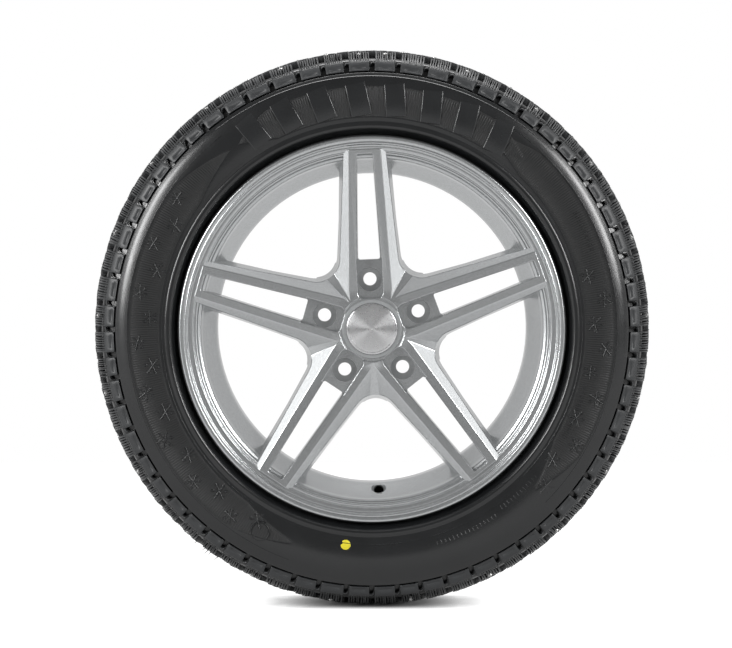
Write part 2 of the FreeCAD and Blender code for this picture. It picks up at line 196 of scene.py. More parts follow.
def ribbed_fields(tree, place):
    """Sockets for the fine moulded ribs of the sidewall and for the crescent fields that hold them."""
    flat = add_node(tree, "ShaderNodeVectorMath", {0: place, 1: (1.0, 0.0, 1.0)}, operation="MULTIPLY")
    outward = add_node(tree, "ShaderNodeVectorMath", {0: flat.outputs["Vector"]}, operation="NORMALIZE")
    radius = add_node(tree, "ShaderNodeVectorMath", {0: flat.outputs["Vector"]}, operation="LENGTH")
    side = add_node(tree, "ShaderNodeMath", {
        0: radius.outputs["Value"], 1: FIELD_RADIUS}, operation="SUBTRACT")
    off = add_node(tree, "ShaderNodeMath", {0: side.outputs["Value"]}, operation="ABSOLUTE")
    field = None
    for middle, half in RIBBED_FIELDS:
        facing = add_node(tree, "ShaderNodeVectorMath", {
            0: outward.outputs["Vector"], 1: polar(1.0, middle, 0.0)}, operation="DOT_PRODUCT")
        room = add_node(tree, "ShaderNodeMapRange", {
            "Value": facing.outputs["Value"], "From Min": math.cos(half),
            "From Max": math.cos(FIELD_FULL * half), "To Max": FIELD_HALF})
        inset = add_node(tree, "ShaderNodeMath", {
            0: room.outputs["Result"], 1: off.outputs["Value"]}, operation="SUBTRACT")
        part = add_node(tree, "ShaderNodeMapRange", {"Value": inset.outputs["Value"], "From Max": 1 * MM})
        if field is None:
            field = part.outputs["Result"]
        else:
            both = add_node(tree, "ShaderNodeMath", {
                0: field, 1: part.outputs["Result"]}, operation="MAXIMUM")
            field = both.outputs["Value"]
    parts = add_node(tree, "ShaderNodeSeparateXYZ", {"Vector": outward.outputs["Vector"]})
    angle = add_node(tree, "ShaderNodeMath", {
        0: parts.outputs["Z"], 1: parts.outputs["X"]}, operation="ARCTAN2")
    turns = add_node(tree, "ShaderNodeMath", {
        0: angle.outputs["Value"], 1: RIB_COUNT}, operation="MULTIPLY")
    wave = add_node(tree, "ShaderNodeMath", {0: turns.outputs["Value"]}, operation="SINE")
    ribs = add_node(tree, "ShaderNodeMath", {0: wave.outputs["Value"], 1: field}, operation="MULTIPLY")
    return ribs.outputs["Value"], field


def moulded_rubber(settings, name, tone, gloss, ribbed=False):
    """Carbon-black rubber from a spark-eroded mould: near black, with a sheen that depends on the mould.

    The walls come from a smooth mould and shine; the tread is rougher and greyer, and the ribbed
    fields of the sidewall look darker, because the ribs shade each other.
    """
    material, tree = new_material(name)
    place = add_node(tree, "ShaderNodeTexCoord")
    # Uneven bloom of wax on the surface, patches of about 30 mm
    bloom = add_node(tree, "ShaderNodeTexNoise", {
        "Vector": place.outputs["Object"], "Scale": 1.0 / (30 * MM), "Detail": 4.0})
    # Grain of the mould's surface is about 0.3 mm, drawn at 1.2 mm, as coarse as the picture shows
    grain = add_node(tree, "ShaderNodeTexNoise", {
        "Vector": place.outputs["Object"], "Scale": 1.0 / (1.2 * MM), "Detail": 2.0})
    base = shaded(linear(settings.rubber_colour), tone)
    colour = add_node(tree, "ShaderNodeMix", {
        "Factor": bloom.outputs["Fac"], "A": shaded(base, 0.65), "B": shaded(base, 1.35)}, data_type="RGBA")
    rough = add_node(tree, "ShaderNodeMapRange", {
        "Value": bloom.outputs["Fac"], "To Min": gloss, "To Max": 1.6 * gloss})
    bump = add_node(tree, "ShaderNodeBump", {
        "Height": grain.outputs["Fac"], "Strength": 0.8 * gloss, "Distance": 0.25 * MM})
    shader = add_node(tree, "ShaderNodeBsdfPrincipled", {
        "Base Color": colour.outputs["Result"], "Roughness": rough.outputs["Result"],
        "Normal": bump.outputs["Normal"], "IOR": 1.52})
    if ribbed:
        ribs, field = ribbed_fields(tree, place.outputs["Object"])
        shade = add_node(tree, "ShaderNodeMix", {
            "Factor": field, "A": colour.outputs["Result"], "B": shaded(base, 0.5)}, data_type="RGBA")
        dull = add_node(tree, "ShaderNodeMath", {0: field, 1: 0.16}, operation="MULTIPLY")
        both = add_node(tree, "ShaderNodeMath", {0: rough.outputs["Result"], 1: dull.outputs["Value"]})
        ridges = add_node(tree, "ShaderNodeBump", {
            "Height": ribs, "Strength": 0.35, "Distance": 0.4 * MM, "Normal": bump.outputs["Normal"]})
        tree.links.new(shade.outputs["Result"], shader.inputs["Base Color"])
        tree.links.new(both.outputs["Value"], shader.inputs["Roughness"])
        tree.links.new(ridges.outputs["Normal"], shader.inputs["Normal"])
    add_node(tree, "ShaderNodeOutputMaterial", {"Surface": shader.outputs["BSDF"]})
    return material


def silver_wheel_paint(settings):
    """Silver basecoat with aluminium flakes under clear lacquer: a grey sheen with fine sparkle."""
    material, tree = new_material("silver_wheel_paint")
    place = add_node(tree, "ShaderNodeTexCoord")
    # Flakes are about 0.05 mm; clusters of 0.9 mm are drawn, the finest that the picture shows
    flakes = add_node(tree, "ShaderNodeTexVoronoi", {
        "Vector": place.outputs["Object"], "Scale": 1.0 / (0.9 * MM)})
    base = linear(settings.paint_colour)
    colour = add_node(tree, "ShaderNodeMix", {
        "Factor": flakes.outputs["Color"], "A": shaded(base, 0.88), "B": shaded(base, 1.10)},
        data_type="RGBA")
    # Slight waviness of the lacquer over the casting
    wave = add_node(tree, "ShaderNodeTexNoise", {
        "Vector": place.outputs["Object"], "Scale": 1.0 / (6 * MM), "Detail": 1.0})
    bump = add_node(tree, "ShaderNodeBump", {
        "Height": wave.outputs["Fac"], "Strength": 0.02, "Distance": 0.2 * MM})
    shader = add_node(tree, "ShaderNodeBsdfPrincipled", {
        "Base Color": colour.outputs["Result"], "Metallic": 0.9, "Roughness": 0.26,
        "Coat Weight": 0.3, "Coat Roughness": 0.1, "Normal": bump.outputs["Normal"]})
    add_node(tree, "ShaderNodeOutputMaterial", {"Surface": shader.outputs["BSDF"]})
    return material


def satin_casting(settings):
    """Turned ring of bare casting under a thin satin lacquer: an even, darker grey than the paint. The lug
    wells take it too, where the darker grey is partly bare machined metal and partly painted shade.
    """
    material, tree = new_material("satin_turned_alloy")
    place = add_node(tree, "ShaderNodeTexCoord")
    # Turning marks are about 0.2 mm apart, drawn as patches of 2 mm
    marks = add_node(tree, "ShaderNodeTexNoise", {
        "Vector": place.outputs["Object"], "Scale": 1.0 / (2 * MM), "Detail": 2.0})
    rough = add_node(tree, "ShaderNodeMapRange", {
        "Value": marks.outputs["Fac"], "To Min": 0.42, "To Max": 0.55})
    shader = add_node(tree, "ShaderNodeBsdfPrincipled", {
        "Base Color": linear(settings.turned_colour), "Metallic": 1.0, "Roughness": rough.outputs["Result"]})
    add_node(tree, "ShaderNodeOutputMaterial", {"Surface": shader.outputs["BSDF"]})
    return material


def spun_cap_metal(settings):
    """Bright cap face with a spun finish: rings too fine to see, which smear highlights into rays."""
    material, tree = new_material("spun_bright_metal")
    place = add_node(tree, "ShaderNodeTexCoord")
    # The spinning leaves the gloss uneven in patches of about 4 mm
    smears = add_node(tree, "ShaderNodeTexNoise", {
        "Vector": place.outputs["Object"], "Scale": 1.0 / (4 * MM), "Detail": 2.0})
    rough = add_node(tree, "ShaderNodeMapRange", {
        "Value": smears.outputs["Fac"], "To Min": 0.24, "To Max": 0.32})
    tangent = add_node(tree, "ShaderNodeTangent", direction_type="RADIAL", axis="Y")
    shader = add_node(tree, "ShaderNodeBsdfPrincipled", {
        "Base Color": linear(settings.cap_colour), "Metallic": 1.0, "Roughness": rough.outputs["Result"],
        "Anisotropic": 0.9, "Anisotropic Rotation": 0.25, "Tangent": tangent.outputs["Tangent"]})
    add_node(tree, "ShaderNodeOutputMaterial", {"Surface": shader.outputs["BSDF"]})
    return material


def dot_paint(settings):
    """Matt marking paint dabbed on rubber: flat strong colour, uneven at the edge of the dab."""
    material, tree = new_material("yellow_marking_paint")
    place = add_node(tree, "ShaderNodeTexCoord")
    # The dab is thinner in patches of about 2 mm
    dab = add_node(tree, "ShaderNodeTexNoise", {
        "Vector": place.outputs["Object"], "Scale": 1.0 / (2 * MM), "Detail": 2.0})
    thick = linear(settings.dot_colour)
    colour = add_node(tree, "ShaderNodeMix", {
        "Factor": dab.outputs["Fac"], "A": shaded(thick, 0.75), "B": thick}, data_type="RGBA")
    shader = add_node(tree, "ShaderNodeBsdfPrincipled", {
        "Base Color": colour.outputs["Result"], "Roughness": 0.55})
    add_node(tree, "ShaderNodeOutputMaterial", {"Surface": shader.outputs["BSDF"]})
    return material


def stud_steel():
    """Turned steel of the stud bodies and pins: grey, a little worn."""
    material, tree = new_material("turned_stud_steel")
    place = add_node(tree, "ShaderNodeTexCoord")
    # Bright and dull patches of about 2 mm
    wear = add_node(tree, "ShaderNodeTexNoise", {
        "Vector": place.outputs["Object"], "Scale": 1.0 / (2 * MM), "Detail": 3.0})
    dull = linear("#7d7d7e")
    bright = linear("#c2c2c0")
    colour = add_node(tree, "ShaderNodeMix", {
        "Factor": wear.outputs["Fac"], "A": dull, "B": bright}, data_type="RGBA")
    shader = add_node(tree, "ShaderNodeBsdfPrincipled", {
        "Base Color": colour.outputs["Result"], "Metallic": 1.0, "Roughness": 0.38})
    add_node(tree, "ShaderNodeOutputMaterial", {"Surface": shader.outputs["BSDF"]})
    return material


# Mesh helpers

def add_piece(name, mesh, material, sharp_deg=35.0):
    """Object for a finished mesh, which rides on the wheel and takes the material it is given."""
    mesh.materials.append(material)
    mesh.shade_smooth()
    mesh.set_sharp_from_angle(angle=math.radians(sharp_deg))
    piece = bpy.data.objects.new(name, mesh)
    bpy.context.scene.collection.objects.link(piece)
    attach(piece, BODY)
    return piece


def mesh_of(name, points, faces):
    """Mesh of points and faces, with the faces of each closed shell turned outwards."""
    mesh = bpy.data.meshes.new(name)
    mesh.from_pydata([tuple(point) for point in points], [], faces)
    shell = bmesh.new()
    shell.from_mesh(mesh)
    bmesh.ops.recalc_face_normals(shell, faces=shell.faces)
    shell.to_mesh(mesh)
    shell.free()
    return mesh


def polar(radius, angle, place):
    """Point at a radius and angle about the axle and a place along it."""
    return Vector((radius * math.cos(angle), place, radius * math.sin(angle)))


def revolved(profile, segments):
    """Points and faces of a closed profile of (radius, place) turned about the axle."""
    angles = numpy.arange(segments) * 2.0 * math.pi / segments
    radii = numpy.array([radius for radius, place in profile])
    places = numpy.array([place for radius, place in profile])
    points = numpy.stack([
        numpy.outer(numpy.cos(angles), radii),
        numpy.tile(places, (segments, 1)),
        numpy.outer(numpy.sin(angles), radii)], axis=2).reshape(-1, 3)
    count = len(profile)
    faces = []
    for step in range(segments):
        here = step * count
        there = (step + 1) % segments * count
        for index in range(count):
            following = (index + 1) % count
            faces.append((here + index, here + following, there + following, there + index))
    return points, faces


def sheet_faces(first, lines, columns):
    """Faces of a sheet of lines of points, counted from its first point."""
    corners = [first + line * columns + column for line in range(lines - 1) for column in range(columns - 1)]
    return [(here, here + 1, here + columns + 1, here + columns) for here in corners]


def tube_faces(first, rings, sides):
    """Faces of a tube of rings of points, counted from its first point, with both of its ends."""
    faces = []
    for ring in range(rings - 1):
        here = first + ring * sides
        for side in range(sides):
            following = (side + 1) % sides
            faces.append((here + side, here + following, here + sides + following, here + sides + side))
    last = first + (rings - 1) * sides
    faces.append(tuple(range(first, first + sides)))
    faces.append(tuple(range(last, last + sides)))
    return faces


def rear_half(front_half):
    """Mirror image of half a section, in the order that carries on from it."""
    return [(radius, -place) for radius, place in reversed(front_half)]


def in_metres(points, radius=0.0, place=0.0):
    """Points of (radius, place) given in millimetres from a radius and a place along the axle."""
    return [(radius + outward * MM, place + along * MM) for outward, along in points]


def smooth_line(points, steps):
    """Points of a smooth line through given points, with so many steps to each span."""
    known = numpy.array(points, dtype=float)
    padded = numpy.vstack([2 * known[0] - known[1], known, 2 * known[-1] - known[-2]])
    line = []
    for index in range(1, len(padded) - 2):
        before, start, end, after = padded[index - 1:index + 3]
        for step in range(steps):
            t = step / steps
            line.append(0.5 * (
                2 * start + (end - before) * t
                + (2 * before - 5 * start + 4 * end - after) * t ** 2
                + (3 * start - before - 3 * end + after) * t ** 3))
    line.append(known[-1])
    return [tuple(point) for point in line]


# Tyre

# One quarter of the tread: short, medium and long pitches mixed to spread the road noise
PITCH_SEQUENCE = "MSMLLMMSMSMSLMLM"
PITCH_REPEATS = 4
PITCH_SHARE = {"S": 0.912, "M": 1.0, "L": 1.09}


def pitches():
    """Middle angle and length, as angles, of each tread pitch round the tyre."""
    shares = [PITCH_SHARE[letter] for letter in PITCH_SEQUENCE * PITCH_REPEATS]
    unit = 2.0 * math.pi / sum(shares)
    places = []
    start = math.pi / 2.0
    for share in shares:
        places.append((start + share * unit / 2.0, share * unit))
        start += share * unit
    return places


def jitter(index, salt):
    """Repeatable uneven number between -1 and 1."""
    return 2.0 * (math.sin(index * 12.9898 + salt * 78.233) * 43758.5453 % 1.0) - 1.0


def sidewall_profile(settings):
    """Front half of the tyre's section, from the rim to the groove floor, as (radius, place)."""
    widest = -settings.section_width / 2.0
    part = settings.parting_radius
    floor = settings.tread_radius - settings.groove_depth
    bead = smooth_line(in_metres([
        (219.9, -82), (221.2, -86), (223.4, -91), (225.6, -96), (227.6, -99.4), (230.0, -100.6),
        (232.6, -100.3), (234.4, -99.6)]), steps=3)
    bulge = in_metres([(240, 2.0), (250, 0.5), (260, 0), (270, 0.9), (277, 2.5), (284, 5.0)], place=widest)
    wall = smooth_line([bead[-1]] + bulge + [(part - 1.4 * MM, widest + 8.0 * MM)], steps=6)
    ledge = [
        (part - 1.0 * MM, widest + 8.6 * MM), (part - 0.8 * MM, -84 * MM), (part + 1.0 * MM, -83 * MM)]
    crown = in_metres([(300, -81.5), (303.6, -79)]) + [(floor, -74 * MM), (floor, -40 * MM)]
    return bead[:-1] + wall + ledge + crown


def carcass_profile(settings):
    """Closed section of the carcass: both sides, the groove floor and the inner liner."""
    outside = sidewall_profile(settings)
    liner = in_metres([(204, 82), (202, 64), (222, 80), (260, 92), (296, 78)])
    return outside + rear_half(outside) + liner + [(298 * MM, 0.0)] + rear_half(liner)


def wall_place(radius, settings):
    """Place of the sidewall's surface at radii between the rim protector and the parting line."""
    wall = [point for point in sidewall_profile(settings) if 231 * MM < point[0] < settings.parting_radius]
    return numpy.interp(radius, [point[0] for point in wall], [-point[1] for point in wall])


def carcass_mesh(settings):
    """Carcass turned about the axle, its ribbed fields sunk a little into the sidewalls."""
    points, faces = revolved(carcass_profile(settings), segments=720)
    radii = numpy.hypot(points[:, 0], points[:, 2])
    angles = numpy.arctan2(points[:, 2], points[:, 0])
    on_wall = numpy.abs(points[:, 1]) > 94 * MM
    for middle, half in RIBBED_FIELDS:
        room = numpy.interp(
            numpy.cos(angles - middle), (math.cos(half), math.cos(FIELD_FULL * half)), (0.0, FIELD_HALF))
        share = numpy.clip((room - numpy.abs(radii - FIELD_RADIUS)) / (2 * MM), 0.0, 1.0)
        points[:, 1] -= numpy.sign(points[:, 1]) * FIELD_DEPTH * share * on_wall
    return mesh_of("tyre_carcass", points, faces)


def tread_height(across, settings):
    """Radius of the tread's surface at a place across it, with a groove beside each shoulder row."""
    places = [value * MM for value in (0, 30, 48.9, 49, 55, 55.1, 66, 74, 80, 84.5, 86.6, 87.6)]
    drops = [value * MM for value in (0, 0.3, 1.0, 9, 9, 1.5, 3.1, 5.1, 8.0, 11.8, 14.2, 15.8)]
    return settings.tread_radius - numpy.interp(abs(across), places, drops)


def lug_shift(across, settings):
    """How far a lug runs ahead at a place across the tread, as an angle."""
    ahead = max(0.0, 1.0 - abs(across) / (57.5 * MM))
    return settings.lug_sweep * ahead / settings.tread_radius


def lug_slices(settings):
    """Points and faces of the thin slices that the sipes leave of every lug."""
    half_row = [value * MM for value in (
        0, 10, 20, 30, 40, 48.9, 49, 55, 55.1, 60, 66, 70, 74, 77, 80, 82.4, 84.5, 86.6, 87.6)]
    row = [-value for value in reversed(half_row[1:])] + half_row
    foot = settings.tread_radius - settings.groove_depth - 3.5 * MM
    gap = settings.sipe_width / settings.tread_radius
    points = []
    faces = []
    for pitch_index, (middle, length) in enumerate(pitches()):
        usable = length - settings.groove_width / settings.tread_radius
        slice_length = usable / settings.sipe_count
        for slice_index in range(settings.sipe_count):
            centre = middle - usable / 2.0 + (slice_index + 0.5) * slice_length
            number = pitch_index * settings.sipe_count + slice_index
            faces += tube_faces(len(points), len(row), 4)
            for column, across in enumerate(row):
                # Edges stand up unevenly where the mould's blades were pulled out
                outward = min(1.0, abs(across) / (80 * MM)) ** 3
                side_number = number + 600 * (across > 0)
                lift = 0.45 * MM * jitter(side_number, 1.0 + column // 5)
                lift += 1.1 * MM * outward * jitter(side_number, 3.0)
                lean = 0.7 * gap * jitter(side_number, 5.0) * outward
                angle = centre + lug_shift(across, settings) + lean
                wave = 0.16 * gap * math.sin(across / (1.6 * MM))
                top = tread_height(across, settings) + lift
                low = min(foot, top - 4.5 * MM)
                wear = outward * (0.6 + 0.5 * jitter(side_number, 29.0))
                half = (slice_length - gap * (1.0 + wear)) / 2.0
                reach = across * (1.0 + 0.012 * outward * jitter(side_number, 7.0))
                for side, radius in ((-1, low), (-1, top), (1, top - 0.5 * MM * outward), (1, low)):
                    points.append(polar(radius, angle + wave + side * half, reach))
    return points, faces


def spike(points, faces, base, direction, sideways, width):
    """Adds a thin four-sided spike of rubber that stands on a base point."""
    across = direction.cross(sideways).normalized()
    first = len(points)
    for along, turn in ((-1, -1), (1, -1), (1, 1), (-1, 1)):
        points.append(base + sideways * (along * width / 2.0) + across * (turn * width / 2.0))
    points.append(base + direction)
    for corner in range(4):
        faces.append((first + corner, first + (corner + 1) % 4, first + 4))
    faces.append((first, first + 3, first + 2, first + 1))


def tread_flash(settings):
    """Points and faces of the thin flash and vent hairs that the mould leaves on the tread."""
    points = []
    faces = []
    axle = Vector((0, 1, 0))
    hair_count = 2600
    golden_share = 0.6180339887
    for number in range(hair_count):
        angle = 2.0 * math.pi * (number * golden_share % 1.0)
        # More of the flash stands near the two shoulders
        spread = jitter(number, 11.0)
        across = 86 * MM * math.copysign(math.sqrt(abs(spread)), spread)
        lean = polar(0.35 * jitter(number, 13.0), angle + math.pi / 2.0, 0.35 * jitter(number, 17.0))
        length = (1.0 + 0.8 * abs(jitter(number, 19.0))) * MM
        base = polar(tread_height(across, settings) - 0.4 * MM, angle, across)
        spike(points, faces, base, (polar(1.0, angle, 0.0) + lean) * length, axle, 0.7 * MM)
    # A few long vent hairs are left on the front shoulder, low on the left
    for place_deg, across_mm, length_mm in (
            (230.6, -60, 6.0), (232.8, -70, 8.5), (233.6, -64, 9.5), (234.3, -72, 9.0), (236.0, -66, 7.5),
            (233.2, 40, 6.5), (300.4, -66, 4.0), (57.3, -64, 4.0)):
        angle = math.radians(place_deg)
        base = polar(tread_height(across_mm * MM, settings) - 0.4 * MM, angle, across_mm * MM)
        lean = polar(0.25, angle - math.pi / 2.0, -0.1)
        spike(points, faces, base, (polar(1.0, angle, 0.0) + lean) * length_mm * MM, axle, 1.1 * MM)
    return points, faces


def shoulder_blocks(settings, side):
    """Points and faces of the solid foot of each lug on one shoulder, with its shallow panel."""
    spread = (-1.0, -1.0, -0.985, -0.94, -0.62, -0.58, 0.58, 0.62, 0.94, 0.985, 1.0, 1.0)
    sunk = (8.0, 1.2, 0.35, 0.0, 0.0, 0.0, 0.0, 0.0, 0.0, 0.35, 1.2, 8.0)
    # Up the flank: radius above the parting line and how far the flank is set back
    rise = (0.3, 0.5, 1.2, 2.6, 3.0, 5.0, 5.4, 8.6, 11.2, 12.0, 12.0)
    back = (8.0, 0.6, 0.0, 0.7, 0.9, 1.9, 2.1, 3.9, 5.4, 6.4, 12.0)
    points = []
    faces = []
    for middle, length in pitches():
        half = (length - settings.groove_width / settings.tread_radius) / 2.0
        faces += sheet_faces(len(points), len(rise), len(spread))
        for height, set_back in zip(rise, back):
            radius = settings.parting_radius + height * MM
            for share, drop in zip(spread, sunk):
                panel = 0.55 if abs(share) < 0.6 and 2.8 < height < 5.2 else 0.0
                place = settings.section_width / 2.0 - 9.6 * MM - (set_back + drop + panel) * MM
                points.append(polar(radius, middle + share * half, side * place))
    return points, faces


def groove_hooks(settings, side):
    """Points and faces of the bent ribs that stand at the foot of each groove."""
    bend = smooth_line(
        [(-3.6, 9.4), (-1.6, 10.2), (0.8, 9.4), (2.2, 7.0), (2.4, 4.4), (3.8, 3.0)], steps=4)
    thick = 1.15 * MM
    ring = 10
    points = []
    faces = []
    for middle, length in pitches():
        start = middle + length / 2.0
        faces += tube_faces(len(points), len(bend), ring)
        for along, height in bend:
            radius = settings.parting_radius + height * MM
            angle = start + along * MM / settings.parting_radius
            place = settings.section_width / 2.0 - (11.4 + 0.62 * height) * MM
            for step in range(ring):
                turn = 2.0 * math.pi * step / ring
                points.append(polar(
                    radius + thick * math.cos(turn), angle, side * (place + 2.0 * thick * math.sin(turn))))
    return points, faces


def flat_strokes():
    """Raised lines of the sidewall, each a list of (angle, radius) points with a width and a height."""
    strokes = []

    def local(angle, radius, along, up):
        """Place that lies so far along and up from a point of the sidewall."""
        return angle + along / radius, radius + up

    # Snow crystals in two staggered rows on the ribbed fields
    for first_deg, count in ((146.0, 16), (318.0, 10)):
        for number in range(count):
            radius = (265.0 if number % 2 == 0 else 251.0) * MM
            angle = math.radians(first_deg + 6.2 * number)
            size = 9.4 * MM * (1.0 + 0.12 * jitter(number, first_deg))
            for ray in range(6):
                turn = math.pi * ray / 3.0 + 0.4 * jitter(number, 23.0)
                tip = (size * math.cos(turn), size * math.sin(turn))
                strokes.append(([(angle, radius), local(angle, radius, *tip)], 1.9 * MM, 0.35 * MM))
                for side in (-1, 1):
                    barb = turn + side * math.pi / 4.0
                    foot = (0.6 * tip[0], 0.6 * tip[1])
                    end = (foot[0] + 0.26 * size * math.cos(barb), foot[1] + 0.26 * size * math.sin(barb))
                    strokes.append((
                        [local(angle, radius, *foot), local(angle, radius, *end)], 1.4 * MM, 0.25 * MM))
    # Plain slanted plates along the top
    for number in range(8):
        angle = math.radians(121.0 - 9.2 * number)
        line = [local(angle, 260 * MM, 0.16 * up * MM, up * MM) for up in range(-18, 19, 3)]
        strokes.append((line, 24 * MM, 0.7 * MM))
    # Thin lines along the fields
    for radius_mm, from_deg, to_deg in (
            (237.5, 128, 250), (237.5, 316, 420), (277, 128, 250), (277, 315, 420), (243, 256, 310),
            (286, 45, 128)):
        steps = 90
        line = [
            (math.radians(from_deg + (to_deg - from_deg) * step / steps), radius_mm * MM)
            for step in range(steps + 1)]
        strokes.append((line, 1.4 * MM, 0.5 * MM))
    # A ring and rows of ticks
    circle = [
        local(math.radians(241), 261 * MM, 10.5 * MM * math.cos(turn), 10.5 * MM * math.sin(turn))
        for turn in numpy.linspace(0.0, 2.0 * math.pi, 33)]
    strokes.append((circle, 1.7 * MM, 0.6 * MM))
    for from_deg, count, radius_mm in ((287, 16, 250), (306, 12, 246), (331, 14, 246), (20, 10, 262)):
        for number in range(count):
            angle = math.radians(from_deg + 1.1 * number)
            strokes.append(([(angle, radius_mm * MM), (angle, (radius_mm + 4.5) * MM)], 1.8 * MM, 0.4 * MM))
    return strokes


def relief_mesh(settings, side, name):
    """Raised lines of one sidewall as ribbons with sloping sides that follow its curve."""
    flat = []
    faces = []
    for line, width, height in flat_strokes():
        first = len(flat)
        slope = min(0.3 * width, 0.9 * MM)
        top = 0.5 * width - slope
        inner = max(top - slope, 0.0)
        section = (
            (-0.5 * width, -0.9 * MM), (-top, height), (-inner, height), (inner, height), (top, height),
            (0.5 * width, -0.9 * MM))
        for index, (angle, radius) in enumerate(line):
            before = line[max(0, index - 1)]
            after = line[min(len(line) - 1, index + 1)]
            along = Vector(((after[0] - before[0]) * radius, after[1] - before[1])).normalized()
            across = Vector((-along.y, along.x))
            for reach, lift in section:
                turn = angle + across.x * reach / radius
                flat.append((radius + across.y * reach, turn if side < 0 else math.pi - turn, lift))
        faces += sheet_faces(first, len(line), len(section))
        faces.append(tuple(range(first, first + len(section))))
        faces.append(tuple(range(len(flat) - len(section), len(flat))))
    places = wall_place([radius for radius, turn, lift in flat], settings)
    points = [
        polar(radius, turn, side * (place + lift)) for (radius, turn, lift), place in zip(flat, places)]
    return mesh_of(name, points, faces)


def dot_mesh(settings):
    """Round spot of paint on the front sidewall, with a worn notch in its edge."""
    middle = math.radians(263)
    radius = 245 * MM
    flat = []
    rings = (0.02, 0.5, 0.9, 1.0)
    steps = 40
    for share in rings:
        for step in range(steps):
            turn = 2.0 * math.pi * step / steps
            notch = 1.0 - 0.34 * math.exp(-((turn - 3.4) / 0.28) ** 2)
            size = 5.8 * MM * share * notch
            lift = 0.3 * MM if share < 1.0 else -0.1 * MM
            flat.append((radius + size * math.sin(turn), middle + size * math.cos(turn) / radius, lift))
    places = wall_place([reach for reach, angle, lift in flat], settings)
    points = [polar(reach, angle, -(place + lift)) for (reach, angle, lift), place in zip(flat, places)]
    # The underside, which would be the last face, lies in the rubber and stays open
    return mesh_of("paint_dot", points, tube_faces(0, len(rings), steps)[:-1])


class WHEEL_OT_winter_tyre(bpy.types.Operator):
    """Builds the tyre: carcass, siped lugs, shoulder blocks, groove ribs and sidewall relief."""

    bl_idname = "wheel.winter_tyre"
    bl_label = "Winter tyre"

    def execute(self, context):
        settings = context.scene.winter_tyre
        wall = moulded_rubber(settings, "ribbed_sidewall_rubber", tone=1.0, gloss=0.18, ribbed=True)
        smooth = moulded_rubber(settings, "smooth_sidewall_rubber", tone=1.3, gloss=0.2)
        tread = moulded_rubber(settings, "rough_tread_rubber", tone=2.8, gloss=0.34)
        carcass = add_piece("tyre_carcass", carcass_mesh(settings), wall)
        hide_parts("tyre")
        add_piece("tread_lugs", mesh_of("tread_lugs", *lug_slices(settings)), tread)
        add_piece("tread_flash", mesh_of("tread_flash", *tread_flash(settings)), tread)
        for side, name in ((-1, "front"), (1, "rear")):
            blocks = mesh_of("shoulder_blocks_" + name, *shoulder_blocks(settings, side))
            add_piece("shoulder_blocks_" + name, blocks, tread, sharp_deg=60.0)
            ribs = mesh_of("groove_ribs_" + name, *groove_hooks(settings, side))
            add_piece("groove_ribs_" + name, ribs, tread)
            relief = relief_mesh(settings, side, "sidewall_relief_" + name)
            add_piece("sidewall_relief_" + name, relief, smooth, sharp_deg=70.0)
        add_piece("paint_dot", dot_mesh(settings), dot_paint(settings))
        return {"FINISHED"}


# Studs

def stud_points(settings):
    """Angle and place across the tread of every stud, which take turns between the rows."""
    rows = [value * MM for value in (-70, -36, -18, 18, 36, 70)]
    middles = [middle for middle, length in pitches()]
    places = []
    for index, middle in enumerate(middles):
        for pick in (index % 3, 3 + (index + 1) % 3):
            across = rows[pick] + 3 * MM * math.sin(2.4 * index)
            places.append((middle + lug_shift(across, settings), across))
    return places


def studs_mesh(settings):
    """All studs: a round body flush with the tread and a tapered hard pin."""
    profile = [
        (settings.stud_flange / 2.0, -4 * MM), (settings.stud_flange / 2.0, -0.1 * MM),
        (settings.stud_flange / 2.0 - 0.4 * MM, 0.3 * MM), (1.4 * MM, 0.4 * MM),
        (1.2 * MM, settings.stud_proud - 0.2 * MM), (0.8 * MM, settings.stud_proud)]
    sides = 12
    points = []
    faces = []
    for angle, across in stud_points(settings):
        out = polar(1.0, angle, 0.0)
        around = polar(1.0, angle + math.pi / 2.0, 0.0)
        base = polar(tread_height(across, settings), angle, across)
        faces += tube_faces(len(points), len(profile), sides)
        for radius, height in profile:
            for step in range(sides):
                turn = 2.0 * math.pi * step / sides
                points.append(
                    base + out * height + around * (radius * math.cos(turn))
                    + Vector((0, radius * math.sin(turn), 0)))
    return mesh_of("studs_turned", points, faces)


class WHEEL_OT_studs(bpy.types.Operator):
    """Builds the studs in the lugs."""

    bl_idname = "wheel.studs"
    bl_label = "Studs"

    def execute(self, context):
        piece = add_piece("studs_turned", studs_mesh(context.scene.winter_tyre), stud_steel())
        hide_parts("studs")
        return {"FINISHED"}


# Alloy rim

# Places along the axle
HUB_FACE = -82 * MM
MOUNTING_FACE = -45 * MM
LIP_BAND_FRONT = RIM_FRONT + 3 * MM
SPOKE_END_FRONT = LIP_BAND_FRONT - 2.2 * MM
POCKET_FLOOR = HUB_FACE + 11 * MM
RECESS_FLOOR = HUB_FACE + 2 * MM
CAP_BORE_END = HUB_FACE + 13 * MM
HUB_BORE_START = MOUNTING_FACE - 13 * MM
# Radii of the hub's flat face and of its bores
HUB_FLAT = 44 * MM
RECESS_RADIUS = 37 * MM
CAP_BORE = 26 * MM
CLIP_CHAMBER = 30.5 * MM
HUB_BORE = 33.3 * MM
# Lug holes, and the pockets round them
COUNTERBORE = 13.6 * MM
SEAT_DEPTH = 10 * MM
SEAT_HALF_ANGLE = math.radians(30)
POCKET_INNER = 34.5 * MM
POCKET_HALF = 14.4 * MM
POCKET_ROUND = 7 * MM
POCKET_LAP = 1.6 * MM
POCKETS_END = 85 * MM
# The bevels are a little flatter than on the solids, so that they mirror the lamps at the sides
BEVEL_DEPTH = 8 * MM
VALLEY_DEPTH = 10 * MM
VALLEY_LENGTH = 31 * MM
# Windows between the spokes and slots in them
WINDOW_DRAFT = 4 * MM
WINDOW_ROUND = 22 * MM
SLOT_DRAFT = 1.6 * MM
SLOT_ROUND = 2.4 * MM
# How far a cutting block stands past what it cuts
BEYOND = 12 * MM


